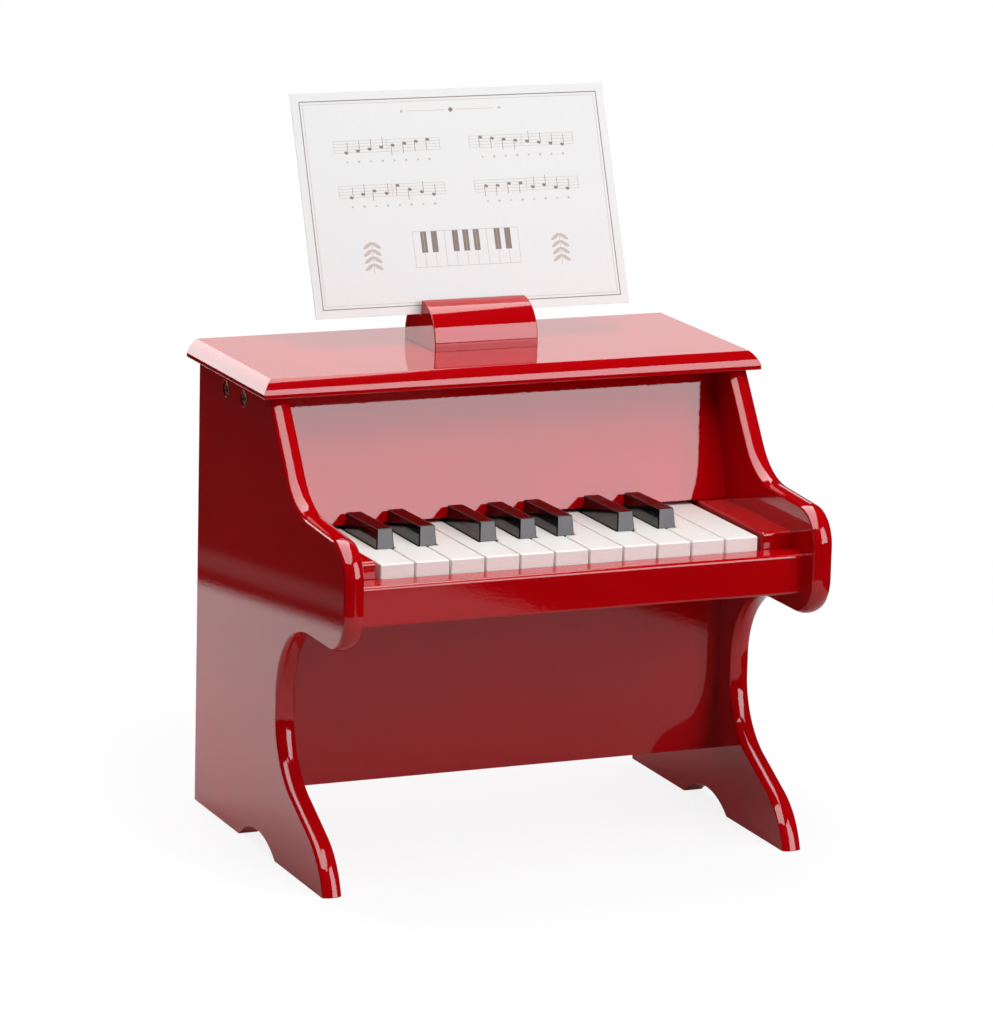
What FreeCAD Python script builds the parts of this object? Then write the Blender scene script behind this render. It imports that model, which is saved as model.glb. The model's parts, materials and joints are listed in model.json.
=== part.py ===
import FreeCAD, Part
import math
import os

import Sketcher

# A toy upright piano. Millimetres, +X to the right seen from the front, +Y to the back, +Z up.
# Depths are measured forwards from the back edge of the side panels, heights up from the floor.

white_notes = "CDEFGABCDEF"
sharp_after = "CDFGA"

sizes = {
    # keyboard
    "key_pitch": 21.0,
    "key_gap": 1.0,
    "key_height": 14.0,
    "key_dip": 6.0,
    "key_front_lever": 110.5,
    "key_edge_radius": 0.8,
    "key_axle_rise": 5.9,
    "black_setback": 34.5,
    "black_rise": 11.1,
    "black_back_drop": 0.8,
    "black_front_lean": 1.6,
    "black_base_width": 10.8,
    "black_top_width": 9.4,
    "black_edge_radius": 0.7,
    "black_panel_gap": 2.7,
    "black_notch_gap": 0.9,
    "offset_C": -3.8,
    "offset_D": 0.7,
    "offset_F": -4.7,
    "offset_G": -1.3,
    "offset_A": 0.7,
    # side panels
    "side_thickness": 11.6,
    "crown_rise": 2.0,
    "crown_flat": 0.4,
    "crown_ease": 1.0,
    "side_top_depth": 115.0,
    "scoop_depth": 153.2,
    "scoop_rise": 22.7,
    "scoop_radius": 40.0,
    "arm_rise": 18.2,
    "nose_reach": 12.9,
    "nose_radius": 21.5,
    "chin_radius": 24.0,
    "arm_drop": 15.4,
    "leg_depth": 132.0,
    "waist_height": 57.7,
    "toe_depth": 201.5,
    "toe_height": 21.5,
    "foot_reach": 7.2,
    "arch_depth": 103.5,
    "arch_span": 58.1,
    "arch_height": 10.6,
    # lid
    "lid_thickness": 10.6,
    "lid_front_overhang": 6.3,
    "lid_back_overhang": 5.8,
    "lid_side_overhang": 6.0,
    "lid_mould_reach": 5.6,
    "lid_mould_drop": 8.0,
    "lid_belly_reach": 1.58,
    "lid_belly_drop": 3.15,
    "lid_belly_radius": 16.0,
    "lid_lip_radius": 0.8,
    # boards between the sides
    "upper_height": 78.1,
    "top_rail_thickness": 18.5,
    "top_rail_depth": 49.0,
    "top_rail_clearance": 0.9,
    "front_panel_thickness": 9.0,
    "front_panel_lean": 18.0,
    "front_panel_ahead": 25.1,
    "front_panel_gap": 2.4,
    "lower_panel_thickness": 9.0,
    "lower_panel_depth": 114.4,
    "lower_panel_height": 37.4,
    "keybed_height": 157.4,
    "keybed_thickness": 8.0,
    "slip_gap": 1.5,
    "slip_thickness": 16.0,
    "slip_drop": 1.5,
    "slip_reveal": 7.8,
    "slip_top_radius": 2.0,
    "slip_bottom_radius": 1.5,
    "cheek_width": 18.4,
    "cheek_gap": 2.2,
    "cheek_rise": 2.0,
    "cheek_slip_gap": 1.0,
    "cheek_tuck": 15.0,
    "cheek_radius": 2.2,
    "back_panel_thickness": 5.0,
    "back_panel_recess": 4.0,
    "back_panel_margin": 0.5,
    # card and its holder
    "holder_width": 64.5,
    "holder_depth": 46.2,
    "holder_height": 26.5,
    "holder_round_flat": 0.4,
    "holder_ease": 0.5,
    "holder_centre_depth": 47.5,
    "holder_offset": 2.0,
    "slot_width": 4.4,
    "slot_drop": 8.4,
    "slot_ahead": 1.5,
    "card_width": 197.0,
    "card_height": 132.0,
    "card_thickness": 0.5,
    "card_lean": 21.3,
    "card_offset": 3.4,
    "card_clearance": 0.3,
    # action
    "axle_radius": 2.0,
    "axle_clearance": 0.05,
    "axle_seat": 4.0,
    "front_felt": 1.2,
    "front_felt_width": 12.0,
    "front_felt_setback": 3.0,
    "rest_felt": 1.9,
    "rest_rail_width": 10.0,
    "rest_rail_setback": 7.5,
    "rest_clearance": 0.3,
    "tail_lever": 40.0,
    "tail_overlap": 1.5,
    "heel_reach": 10.0,
    "heel_clearance": 0.3,
    "heel_radius": 2.0,
    "heel_arm": 3.2,
    "hammer_rise": 7.4,
    "hammer_length": 36.0,
    "hammer_lean": 6.0,
    "hammer_thickness": 9.0,
    "hammer_hub_radius": 4.5,
    "hammer_shank": 4.0,
    "hammer_head_height": 9.0,
    "hammer_head_reach": 9.0,
    "hammer_head_back": 4.5,
    "hammer_head_radius": 3.0,
    "hammer_axle_radius": 1.5,
    "strike_gap": 0.5,
    "bar_width": 7.0,
    "bar_thickness": 2.5,
    "bar_low_length": 64.0,
    "bar_high_length": 44.0,
    "bar_centre_rise": 39.4,
    "bar_felt": 2.0,
    "bar_rail_depth": 15.1,
    "bar_rail_height": 9.0,
    "pin_radius": 1.0,
    "pin_head_radius": 2.2,
    "pin_head_height": 1.0,
    "pin_bite": 8.0,
    "pin_clearance": 0.25,
    # screws
    "screw_radius": 2.0,
    "screw_head_radius": 4.4,
    "screw_head_height": 2.0,
    "screw_sink": 0.5,
    "screw_bite": 22.0,
    "screw_spacing": 28.6,
    "screw_clearance": 0.2,
    "back_screw_radius": 1.5,
    "back_screw_head_radius": 3.0,
    "back_screw_head_height": 1.6,
    "back_screw_bite": 6.0,
    "back_screw_inset": 40.0,
}

doc = FreeCAD.newDocument("toy_piano")
dims = doc.addObject("Spreadsheet::Sheet", "dims")
for row, (alias, size) in enumerate(sizes.items(), 1):
    dims.set(f"A{row}", str(size))
    dims.setAlias(f"A{row}", alias)
doc.recompute()

# Widths
keyboard_half = f"({len(white_notes)} * dims.key_pitch / 2)"
cheek_inner = f"({keyboard_half} + dims.cheek_gap)"
inner_half = f"({cheek_inner} + dims.cheek_width)"
outer_half = f"({inner_half} + dims.side_thickness)"
lid_half = f"({outer_half} + dims.lid_side_overhang)"

# The front edge of a side panel is a shallow arc across its thickness.
crown_radius = "(((dims.side_thickness / 2) ^ 2 + dims.crown_rise ^ 2) / (2 * dims.crown_rise))"

# Heights
keybed_top = "(dims.keybed_height + dims.keybed_thickness)"
key_bottom = f"({keybed_top} + dims.front_felt + dims.key_dip)"
key_top = f"({key_bottom} + dims.key_height)"
key_axle_z = f"({key_bottom} + dims.key_axle_rise)"
lid_bottom = f"({key_top} + dims.upper_height)"
lid_top = f"({lid_bottom} + dims.lid_thickness)"
hammer_axle_z = f"({key_top} + dims.hammer_rise)"
bar_centre_z = f"({key_top} + dims.bar_centre_rise)"
slip_top = f"({key_top} - dims.slip_reveal)"
cheek_top = f"({key_top} + dims.cheek_rise)"
panel_foot_z = f"({key_top} + dims.front_panel_gap)"
slot_bottom = f"({lid_top} + dims.holder_height - dims.slot_drop)"

# Places along Y from the back edge of the sides, negative to the front
back_panel_front = "(-dims.back_panel_recess - dims.back_panel_thickness)"
bar_rail_front = f"({back_panel_front} - dims.bar_rail_depth)"
bar_back = f"({bar_rail_front} - dims.bar_felt)"
bar_front = f"({bar_back} - dims.bar_thickness)"
hammer_travel = "(dims.key_dip / dims.key_front_lever * dims.tail_lever / dims.heel_reach * 1 rad)"
strike_lean = f"({hammer_travel} - dims.hammer_lean * 1 deg)"
strike_reach = f"(dims.hammer_length * sin({strike_lean}) + dims.hammer_head_reach * cos({strike_lean}))"
hammer_axle_y = f"({bar_front} - dims.strike_gap - {strike_reach})"
key_axle_y = f"({hammer_axle_y} - dims.heel_reach - dims.tail_lever)"
key_tail_y = f"({hammer_axle_y} - dims.heel_reach + dims.tail_overlap)"
key_front_y = f"({key_axle_y} - dims.key_front_lever)"
slip_back_y = f"({key_front_y} - dims.slip_gap)"
slip_front_y = f"({slip_back_y} - dims.slip_thickness)"
nose_y = f"({slip_front_y} - dims.nose_reach)"
panel_foot_y = f"({key_axle_y} - dims.front_panel_ahead)"
panel_slope = "tan(dims.front_panel_lean * 1 deg)"
panel_depth = "(dims.front_panel_thickness / cos(dims.front_panel_lean * 1 deg))"
panel_top_y = f"({panel_foot_y} + ({lid_bottom} - {panel_foot_z}) * {panel_slope})"
top_rail_front = f"({panel_top_y} + {panel_depth} + dims.top_rail_clearance)"
top_rail_middle = f"({top_rail_front} + dims.top_rail_depth / 2)"
top_rail_z = f"({lid_bottom} - dims.top_rail_thickness / 2)"
black_front_y = f"({key_front_y} + dims.black_setback)"
black_back_y = f"({panel_foot_y} - dims.black_panel_gap)"
rest_rail_back = f"({key_tail_y} - dims.rest_rail_setback)"
lid_front_y = "(-dims.side_top_depth - dims.lid_front_overhang)"
slot_front_y = "(-dims.holder_centre_depth - dims.slot_ahead)"

# The knee's hollow and the waist below it share the upright stretch of the leg, and the bend of
# the toe takes most of the toe's front edge.
knee_share = 0.534
waist_share = 0.338
toe_share = 0.82
leg_height = "(dims.keybed_height - dims.arm_drop - dims.waist_height)"
shin_lean = "atan((dims.toe_depth - dims.leg_depth) / (dims.waist_height - dims.toe_height))"
toe_lean = "atan(dims.foot_reach / dims.toe_height)"
toe_edge = "sqrt(dims.foot_reach ^ 2 + dims.toe_height ^ 2)"
knee_radius = f"({knee_share} * {leg_height})"
waist_radius = f"({waist_share} * {leg_height} / tan({shin_lean} / 2))"
toe_radius = f"({toe_share} * {toe_edge} / tan(({shin_lean} - {toe_lean}) / 2))"
foot_y = "(-dims.toe_depth - dims.foot_reach)"

# The origin lies under the middle of the depth, between the noses and the back of the lid.
depth_shift = f"((-{nose_y} - dims.lid_back_overhang) / 2)"

nodes = []


def value(expression):
    return float(dims.evalExpression(expression))


def tie(item, **expressions):
    for name, expression in expressions.items():
        item.setExpression(name.replace("__", "."), expression)


def place(item, x="0", y="0", z="0"):
    tie(item, Placement__Base__x=x, Placement__Base__y=f"{depth_shift} + {y}", Placement__Base__z=z)


def new_body(name):
    body = doc.addObject("PartDesign::Body", name)
    place(body)
    return body


def keep(item, name):
    item.Label = name
    nodes.append(item)


def new_sketch(body, name, role, offset="0"):
    sketch = body.newObject("Sketcher::SketchObject", name)
    plane = next(item for item in body.Origin.OriginFeatures if item.Role == role)
    sketch.AttachmentSupport = [(plane, "")]
    sketch.MapMode = "FlatFace"
    tie(sketch, AttachmentOffset__Base__z=offset)
    return sketch


def pin_point(sketch, geometry, position, u, v):
    for kind, expression in (("DistanceX", u), ("DistanceY", v)):
        index = sketch.addConstraint(
            Sketcher.Constraint(kind, -1, 1, geometry, position, value(expression)))
        sketch.setExpression(f"Constraints[{index}]", expression)


def set_radius(sketch, geometry, radius):
    index = sketch.addConstraint(Sketcher.Constraint("Radius", geometry, value(radius)))
    sketch.setExpression(f"Constraints[{index}]", radius)


def circle(sketch, u, v, radius):
    middle = FreeCAD.Vector(value(u), value(v), 0)
    geometry = sketch.addGeometry(Part.Circle(middle, FreeCAD.Vector(0, 0, 1), value(radius)), False)
    pin_point(sketch, geometry, 3, u, v)
    set_radius(sketch, geometry, radius)


def outline(sketch, corners):
    # A closed polygon whose corners (u, v, radius) are rounded by tangent arcs where a radius is given.
    points = [FreeCAD.Vector(value(u), value(v), 0) for u, v, _ in corners]
    count = len(corners)
    arcs = []
    entries = []
    exits = []
    for index, (_, _, radius) in enumerate(corners):
        corner = points[index]
        into = (corner - points[index - 1]).normalize()
        out = (points[(index + 1) % count] - corner).normalize()
        if radius is None:
            arcs.append(None)
            entries.append(corner)
            exits.append(corner)
            continue
        turn = into.cross(out).z
        half_angle = into.getAngle(out) / 2
        setback = value(radius) * math.tan(half_angle)
        start = corner - into * setback
        end = corner + out * setback
        side = 1 if turn > 0 else -1
        middle = start + FreeCAD.Vector(-into.y, into.x, 0) * (side * value(radius))
        first, last = (start, end) if turn > 0 else (end, start)
        arc = Part.ArcOfCircle(
            Part.Circle(middle, FreeCAD.Vector(0, 0, 1), value(radius)),
            math.atan2(first.y - middle.y, first.x - middle.x),
            math.atan2(last.y - middle.y, last.x - middle.x))
        arcs.append((arc, turn > 0))
        entries.append(start)
        exits.append(end)
    lines = []
    for index in range(count):
        segment = Part.LineSegment(exits[index - 1], entries[index])
        lines.append(sketch.addGeometry(segment, False))
    for index, (u, v, radius) in enumerate(corners):
        line_in = lines[index]
        line_out = lines[(index + 1) % count]
        if radius is None:
            sketch.addConstraint(Sketcher.Constraint("Coincident", line_in, 2, line_out, 1))
            pin_point(sketch, line_in, 2, u, v)
            continue
        arc, left_turn = arcs[index]
        bend = sketch.addGeometry(arc, False)
        first, last = (1, 2) if left_turn else (2, 1)
        sketch.addConstraint(Sketcher.Constraint("Tangent", line_in, 2, bend, first))
        sketch.addConstraint(Sketcher.Constraint("Tangent", line_out, 1, bend, last))
        set_radius(sketch, bend, radius)
        vertex = sketch.addGeometry(Part.Point(points[index]), True)
        pin_point(sketch, vertex, 1, u, v)
        sketch.addConstraint(Sketcher.Constraint("PointOnObject", vertex, 1, line_in))
        sketch.addConstraint(Sketcher.Constraint("PointOnObject", vertex, 1, line_out))


def pad(body, name, sketch, length):
    feature = body.newObject("PartDesign::Pad", name)
    feature.Profile = sketch
    tie(feature, Length=length)
    doc.recompute()
    return feature


def cut(body, name, sketch, length=None, reverse=False):
    # A pocket of the given length from the sketch, or through everything on both sides of it.
    before = body.Shape.Volume
    feature = body.newObject("PartDesign::Pocket", name)
    feature.Profile = sketch
    if length is None:
        feature.SideType = "Symmetric"
        feature.Type = "ThroughAll"
    else:
        feature.Reversed = reverse
        tie(feature, Length=length)
    doc.recompute()
    if body.Shape.Volume >= before:
        raise ValueError(f"{name} cuts nothing")
    return feature


def round_edges(body, name, base, radius, chosen):
    edges = []
    for index, edge in enumerate(base.Shape.Edges, 1):
        middle = edge.valueAt((edge.FirstParameter + edge.LastParameter) / 2)
        if chosen(edge, middle):
            edges.append(f"Edge{index}")
    feature = body.newObject("PartDesign::Fillet", name)
    feature.Base = (base, edges)
    tie(feature, Radius=radius)
    doc.recompute()
    return feature


def board(name, corners, left, right):
    # A board cut to a profile seen from the right, running across the piano from left to right.
    body = new_body(name)
    sketch = new_sketch(body, f"{name}_profile", "YZ_Plane", left)
    outline(sketch, corners)
    pad(body, f"{name}_pad", sketch, f"{right} - ({left})")
    keep(body, name)
    return body


def rectangle(front, back, bottom, top):
    return [(front, bottom, None), (back, bottom, None), (back, top, None), (front, top, None)]


near = 0.01


def side_panel(name, side):
    body = new_body(name)
    left = f"-{outer_half}" if side < 0 else inner_half
    right = f"-{inner_half}" if side < 0 else outer_half
    oversize = f"({crown_radius} - dims.side_thickness / 2)"
    profile = new_sketch(body, f"{name}_profile", "YZ_Plane", f"{left} - {oversize}")
    outline(profile, [
        ("0", "0", None),
        ("0", lid_bottom, None),
        ("-dims.side_top_depth", lid_bottom, None),
        ("-dims.scoop_depth", f"{key_top} + dims.scoop_rise", "dims.scoop_radius"),
        (nose_y, f"{key_top} + dims.arm_rise", "dims.nose_radius"),
        (nose_y, "dims.keybed_height - dims.arm_drop", "dims.chin_radius"),
        ("-dims.leg_depth", "dims.keybed_height - dims.arm_drop", knee_radius),
        ("-dims.leg_depth", "dims.waist_height", waist_radius),
        ("-dims.toe_depth", "dims.toe_height", toe_radius),
        (foot_y, "0", None),
    ])
    plank = pad(body, f"{name}_pad", profile, f"2 * {crown_radius}")

    # The front edge of an oversized plank is made a full round, from under the lid down to the toe.
    def on_front(edge, middle):
        lies_flat = abs(edge.BoundBox.XLength) < near
        off_floor = middle.z > near
        off_top = middle.z < value(lid_bottom) - near
        off_back = middle.y < -near
        return lies_flat and off_floor and off_top and off_back

    round_edges(body, f"{name}_round", plank, f"{crown_radius} - dims.crown_flat / 2", on_front)

    # Both faces are planed to the thickness, which leaves the middle of the round as a crown. The
    # waste reaches past the nose and the toe, whichever stands further forward.
    for word, face, rightwards in (("left", left, False), ("right", right, True)):
        waste = new_sketch(body, f"{name}_{word}_waste", "YZ_Plane", face)
        outline(waste, rectangle(
            f"{nose_y} + {foot_y}", oversize, f"-{oversize}", f"{lid_bottom} + {oversize}"))
        cut(body, f"{name}_{word}_face", waste, f"2 * {oversize}", rightwards)

    # The arrises beside the crown are eased.
    def on_arris(edge, middle):
        on_face = min(abs(middle.x - value(left)), abs(middle.x - value(right))) < near
        return on_face and on_front(edge, middle)

    round_edges(body, f"{name}_easing", body.Tip, "dims.crown_ease", on_arris)

    arch_radius = "((dims.arch_span / 2) ^ 2 + dims.arch_height ^ 2) / (2 * dims.arch_height)"
    arch = new_sketch(body, f"{name}_arch_profile", "YZ_Plane", left)
    circle(arch, "-dims.arch_depth", f"dims.arch_height - {arch_radius}", arch_radius)
    cut(body, f"{name}_arch", arch)

    # Blind seats for the two axles, from the inner face.
    inner = f"-{inner_half}" if side < 0 else inner_half
    seats = new_sketch(body, f"{name}_seat_profile", "YZ_Plane", inner)
    circle(seats, key_axle_y, key_axle_z, "dims.axle_radius + dims.axle_clearance")
    circle(seats, hammer_axle_y, hammer_axle_z, "dims.hammer_axle_radius + dims.axle_clearance")
    cut(body, f"{name}_seats", seats, "dims.axle_seat", side > 0)

    # Clearance holes and sunk head seats for the two screws, from the outer face.
    outer = f"-{outer_half}" if side < 0 else outer_half
    for part, radius, length in (
            ("screw_hole", "dims.screw_radius + dims.screw_clearance", "dims.side_thickness"),
            ("screw_seat", "dims.screw_head_radius + dims.screw_clearance",
             "dims.screw_head_height + dims.screw_sink")):
        holes = new_sketch(body, f"{name}_{part}_profile", "YZ_Plane", outer)
        for end in (-1, 1):
            circle(holes, f"{top_rail_middle} + {end} * dims.screw_spacing / 2", top_rail_z, radius)
        cut(body, f"{name}_{part}", holes, length, side < 0)
    keep(body, name)


def moulded(edge, inside, bottom, top):
    # The lid's moulding: a lip with an eased arris, then a full belly up to a crisp top edge.
    return [
        (edge, bottom, "dims.lid_lip_radius"),
        (edge, f"{top} - dims.lid_mould_drop", None),
        (f"{edge} {inside} dims.lid_belly_reach", f"{top} - dims.lid_belly_drop", "dims.lid_belly_radius"),
        (f"{edge} {inside} dims.lid_mould_reach", top, None),
    ]


def lid():
    # The front moulding runs across and the end mouldings run back, and they meet in mitres.
    long_bar = new_body("lid_long_bar")
    profile = new_sketch(long_bar, "lid_long_profile", "YZ_Plane", f"-{lid_half}")
    front = moulded(lid_front_y, "+", lid_bottom, lid_top)
    back = [("dims.lid_back_overhang", lid_top, None), ("dims.lid_back_overhang", lid_bottom, None)]
    outline(profile, front + back)
    pad(long_bar, "lid_long_pad", profile, f"2 * {lid_half}")

    cross_bar = new_body("lid_cross_bar")
    section = new_sketch(cross_bar, "lid_cross_profile", "XZ_Plane", "-dims.lid_back_overhang")
    right_end = moulded(lid_half, "-", lid_bottom, lid_top)
    left_end = moulded(f"-{lid_half}", "+", lid_bottom, lid_top)
    outline(section, right_end + left_end[::-1])
    pad(cross_bar, "lid_cross_pad", section, f"dims.lid_back_overhang - {lid_front_y}")

    top_lid = doc.addObject("Part::Common", "top_lid")
    top_lid.Base = long_bar
    top_lid.Tool = cross_bar
    keep(top_lid, "top_lid")


def case_boards():
    left, right = f"-{inner_half}", inner_half
    board("top_rail", rectangle(
        top_rail_front, f"{top_rail_front} + dims.top_rail_depth",
        f"{lid_bottom} - dims.top_rail_thickness", lid_bottom), left, right)
    board("front_panel", [
        (panel_foot_y, panel_foot_z, None),
        (f"{panel_foot_y} + {panel_depth}", panel_foot_z, None),
        (f"{panel_top_y} + {panel_depth}", lid_bottom, None),
        (panel_top_y, lid_bottom, None),
    ], left, right)
    board("lower_panel", rectangle(
        "-dims.lower_panel_depth", "dims.lower_panel_thickness - dims.lower_panel_depth",
        "dims.lower_panel_height", "dims.keybed_height"), left, right)
    board("keybed", rectangle(slip_back_y, back_panel_front, "dims.keybed_height", keybed_top), left, right)
    slip_bottom = "dims.keybed_height - dims.slip_drop"
    board("key_slip", [
        (slip_front_y, slip_bottom, "dims.slip_bottom_radius"),
        (slip_back_y, slip_bottom, None),
        (slip_back_y, slip_top, "dims.slip_top_radius / 2"),
        (slip_front_y, slip_top, "dims.slip_top_radius"),
    ], left, right)


def cheek_block(name, left, right, inner_x):
    front = f"{slip_back_y} + dims.cheek_slip_gap"
    back = f"{panel_foot_y} + dims.cheek_tuck"
    body = board(name, [
        (front, keybed_top, None),
        (back, keybed_top, None),
        (back, cheek_top, None),
        (front, cheek_top, "dims.cheek_radius"),
    ], left, right)

    # The arris beside the keys is softened like the front one.
    def on_inner_top(edge, middle):
        return (abs(middle.x - value(inner_x)) < near and abs(middle.z - value(cheek_top)) < near
                and edge.BoundBox.YLength > value("dims.cheek_radius"))

    round_edges(body, f"{name}_round", body.Tip, "dims.cheek_radius / 2", on_inner_top)


def screw_solid(name, radius, head_radius, head_height, length):
    # Points along its own +Z, with the underside of the head at zero.
    shank = doc.addObject("Part::Cylinder", f"{name}_shank")
    tie(shank, Radius=radius, Height=length)
    head = doc.addObject("Part::Cylinder", f"{name}_head")
    tie(head, Radius=head_radius, Height=head_height, Placement__Base__z=f"-({head_height})")
    screw = doc.addObject("Part::Fuse", name)
    screw.Base = head
    screw.Tool = shank
    return screw


def turn(item, axis, degrees):
    item.Placement = FreeCAD.Placement(FreeCAD.Vector(), FreeCAD.Rotation(axis, degrees))


def group(name, solids):
    compound = doc.addObject("Part::Compound", name)
    compound.Links = solids
    keep(compound, name)


def back_panel():
    left = f"-{inner_half} + dims.back_panel_margin"
    right = f"{inner_half} - dims.back_panel_margin"
    body = board("back_panel", rectangle(
        back_panel_front, "-dims.back_panel_recess", "dims.keybed_height",
        f"{lid_bottom} - dims.back_panel_margin"), left, right)
    holes = new_sketch(body, "back_panel_holes", "XZ_Plane", "dims.back_panel_recess")
    for x, z in back_screw_places():
        circle(holes, x, z, "dims.back_screw_radius + dims.screw_clearance")
    cut(body, "back_panel_drilling", holes)


def back_screw_places():
    reach = f"({inner_half} - dims.back_screw_inset)"
    low = f"{keybed_top} - dims.keybed_thickness / 2"
    places = []
    for share in (-1, 0, 1):
        x = f"{share} * {reach}"
        places.append((x, low))
        places.append((x, bar_node_z(x, 1)))
    return places


def back_screws():
    solids = []
    for index, (x, z) in enumerate(back_screw_places(), 1):
        screw = screw_solid(
            f"back_screw_{index}", "dims.back_screw_radius", "dims.back_screw_head_radius",
            "dims.back_screw_head_height", "dims.back_panel_thickness + dims.back_screw_bite")
        turn(screw, FreeCAD.Vector(1, 0, 0), 90)
        place(screw, x, "-dims.back_panel_recess", z)
        solids.append(screw)
    group("back_panel_screws", solids)


def side_screws():
    solids = []
    head_depth = "(dims.screw_head_height + dims.screw_sink)"
    for side, word in ((-1, "left"), (1, "right")):
        for end in (-1, 1):
            screw = screw_solid(
                f"{word}_screw_{'front' if end < 0 else 'back'}", "dims.screw_radius",
                "dims.screw_head_radius", "dims.screw_head_height",
                f"dims.side_thickness - {head_depth} + dims.screw_bite")
            turn(screw, FreeCAD.Vector(0, 1, 0), -90 * side)
            place(screw, f"{side} * ({outer_half} - {head_depth})",
                  f"{top_rail_middle} + {end} * dims.screw_spacing / 2", top_rail_z)
            solids.append(screw)
    group("side_screws", solids)


def card_holder():
    back = "(dims.holder_depth / 2 - dims.holder_centre_depth)"
    front = "(-dims.holder_depth / 2 - dims.holder_centre_depth)"
    top = f"({lid_top} + dims.holder_height)"
    round_radius = "(dims.holder_depth - dims.holder_round_flat) / 2"
    left = "(dims.holder_offset - dims.holder_width / 2)"
    right = f"({left} + dims.holder_width)"
    body = board("card_holder", [
        (front, lid_top, None),
        (back, lid_top, None),
        (back, top, round_radius),
        (front, top, round_radius),
    ], left, right)

    # The arrises round both ends are eased, apart from the ones on the lid.
    def on_end(edge, middle):
        at_end = min(abs(middle.x - value(left)), abs(middle.x - value(right))) < near
        return at_end and edge.BoundBox.XLength < near and middle.z > value(lid_top) + near

    round_edges(body, "card_holder_easing", body.Tip, "dims.holder_ease", on_end)
    slot = new_sketch(body, "card_slot_profile", "YZ_Plane", left)
    outline(slot, rectangle(slot_front_y, f"{slot_front_y} + dims.slot_width", slot_bottom, top))
    cut(body, "card_slot", slot)


def music_card():
    body = doc.addObject("PartDesign::Body", "music_card")
    sheet = new_sketch(body, "music_card_outline", "XZ_Plane")
    half = "dims.card_width / 2"
    outline(sheet, [
        (f"-{half}", "0", None),
        (half, "0", None),
        (half, "dims.card_height", None),
        (f"-{half}", "dims.card_height", None),
    ])
    paper = pad(body, "music_card_pad", sheet, "dims.card_thickness")
    paper.Reversed = True
    body.Placement = FreeCAD.Placement(FreeCAD.Vector(), FreeCAD.Rotation(FreeCAD.Vector(-1, 0, 0), 1))
    tie(body, Placement__Rotation__Angle="dims.card_lean * 1 deg")
    lifted = "dims.card_thickness * sin(dims.card_lean * 1 deg) + dims.card_clearance"
    place(body, "dims.card_offset", f"{slot_front_y} + dims.card_clearance", f"{slot_bottom} + {lifted}")
    keep(body, "music_card")


def seam_x(position):
    # The line between two white keys, counted from the left end of the keyboard.
    return f"({position} * dims.key_pitch - {keyboard_half})"


def black_x(position):
    # The middle of the black key over that line.
    return f"({seam_x(position)} + dims.offset_{white_notes[position - 1]})"


def has_black(position):
    return 0 < position < len(white_notes) and white_notes[position - 1] in sharp_after


def white_edges(index):
    # Left and right edges of a white key's head, then of the stick behind the black keys.
    half_notch = "(dims.black_base_width / 2 + dims.black_notch_gap)"
    head_left = f"({seam_x(index)} + dims.key_gap / 2)"
    head_right = f"({seam_x(index + 1)} - dims.key_gap / 2)"
    stick_left = f"({black_x(index)} + {half_notch})" if has_black(index) else head_left
    stick_right = f"({black_x(index + 1)} - {half_notch})" if has_black(index + 1) else head_right
    return head_left, head_right, stick_left, stick_right


def axle_bore(body, name, middle):
    bore = new_sketch(body, f"{name}_bore_profile", "YZ_Plane", middle)
    circle(bore, key_axle_y, key_axle_z, "dims.axle_radius + dims.axle_clearance")
    cut(body, f"{name}_bore", bore)


def white_key(index):
    name = f"white_key_{index + 1:02d}"
    body = new_body(name)
    head_left, head_right, stick_left, stick_right = white_edges(index)
    notch_y = f"({black_front_y} - dims.black_notch_gap)"
    corners = [(head_left, key_front_y, None), (head_right, key_front_y, None)]
    if has_black(index + 1):
        corners += [(head_right, notch_y, None), (stick_right, notch_y, None)]
    corners += [(stick_right, key_tail_y, None), (stick_left, key_tail_y, None)]
    if has_black(index):
        corners += [(stick_left, notch_y, None), (head_left, notch_y, None)]
    plan = new_sketch(body, f"{name}_plan", "XY_Plane", key_bottom)
    outline(plan, corners)
    stick = pad(body, f"{name}_pad", plan, "dims.key_height")
    front = value(key_front_y)
    top = value(key_top)

    # The arrises at the front of the head are eased.
    def on_head(edge, middle):
        upright = edge.BoundBox.ZLength > near
        at_front = abs(middle.y - front) < near
        on_top = abs(edge.BoundBox.ZMin - top) < near
        along_side = abs(edge.Vertexes[0].Y - front) < near or abs(edge.Vertexes[-1].Y - front) < near
        return (upright and at_front) or (on_top and along_side)

    round_edges(body, f"{name}_easing", stick, "dims.key_edge_radius", on_head)
    axle_bore(body, name, f"({stick_left} + {stick_right}) / 2")
    keep(body, name)
    return f"({stick_left} + {stick_right}) / 2"


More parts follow.
